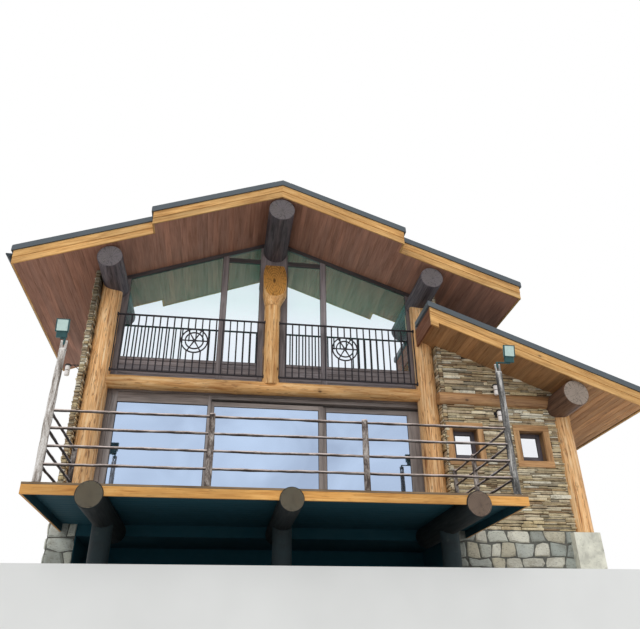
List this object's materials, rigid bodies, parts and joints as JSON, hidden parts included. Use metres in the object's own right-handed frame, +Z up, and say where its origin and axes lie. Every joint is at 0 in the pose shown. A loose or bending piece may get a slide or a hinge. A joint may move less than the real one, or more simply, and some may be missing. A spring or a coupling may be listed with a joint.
{
  "type": "alpine chalet",
  "caption": "Alpine chalet with log posts, stacked stone walls, a glazed gable under deep boarded eaves, a lean-to wing and a raised timber deck with forged railings",
  "frame": {"origin": "on the ground at the middle of the outline, below the house", "axes": "+Z up, the glazed gable front and the deck face -Y, the wing is on the +X side"},
  "size_m": [12.332, 6.66, 7.572],
  "materials": {
    "stone_wall": "stacked ledgestone facing, thin uneven courses",
    "plinth_stone": "rough rubble masonry",
    "floor_stone": "plain concrete slab",
    "floor_wood": "boarded floor",
    "log_wood": "peeled logs, oiled, with knots",
    "purlin_wood": "stained logs with dark sawn ends",
    "deck_log_wood": "weathered dark logs",
    "deck_wood": "deck boards",
    "deck_edge_wood": "light pine edge board",
    "column_dark": "dark painted round columns",
    "frame_wood": "grey-brown stained frames",
    "glass": "clear insulated units",
    "casing_wood": "stained casing boards",
    "balcony_iron": "dark forged bars",
    "rail_steel": "forged steel with silver and brown patina",
    "floodlight_metal": "floodlight housings",
    "lantern_metal": "black lantern mounts",
    "lantern_glass": "white lantern bodies",
    "soffit_wood": "stained soffit boards",
    "fascia_wood": "light pine fascia boards",
    "roof_metal": "dark grey roof covering with metal edge flashing",
    "gutter_metal": "dark gutters"
  },
  "bodies": {
    "house": {"plinth": "plinth_stone", "post_pad": "plinth_stone", "ground_floor": "floor_stone", "upper_floor": "floor_wood", "left_wall": "stone_wall", "right_wall": "stone_wall", "rear_wall": "stone_wall", "wing_front_wall": "stone_wall", "wing_side_wall": "stone_wall", "log_posts": "log_wood", "centre_post": "log_wood", "corbel": "log_wood", "lintel_log": "log_wood", "wing_beam": "log_wood", "ridge_purlin": "purlin_wood", "side_purlins": "purlin_wood", "wing_purlin": "purlin_wood", "deck_columns": "column_dark", "deck_logs": "deck_log_wood", "deck_boards": "deck_wood", "deck_edge": "deck_edge_wood", "lower_frame": "frame_wood", "right_sash": "frame_wood", "lower_glass": "glass", "upper_frame": "frame_wood", "upper_glass": "glass", "window_frames": "frame_wood", "window_glass": "glass", "window_casings": "casing_wood", "balcony_rails": "balcony_iron", "deck_front_rail": "rail_steel", "deck_side_rails": "rail_steel", "lamp_posts": "rail_steel", "floodlights": "floodlight_metal", "wall_lanterns": "lantern_metal", "lantern_glass": "lantern_glass", "main_roof": "soffit_wood", "wing_roof": "soffit_wood", "main_fascia": "fascia_wood", "wing_fascia": "fascia_wood", "main_covering": "roof_metal", "wing_covering": "roof_metal", "gutters": "gutter_metal"},
    "leaf": {"sliding_leaf": "frame_wood", "leaf_glass": "glass"}
  },
  "joints": [
    {"name": "leaf_slide", "type": "slide", "parent": "house", "child": "leaf", "axis": [1, 0, 0], "range_m": [0, 1.95]}
  ]
}
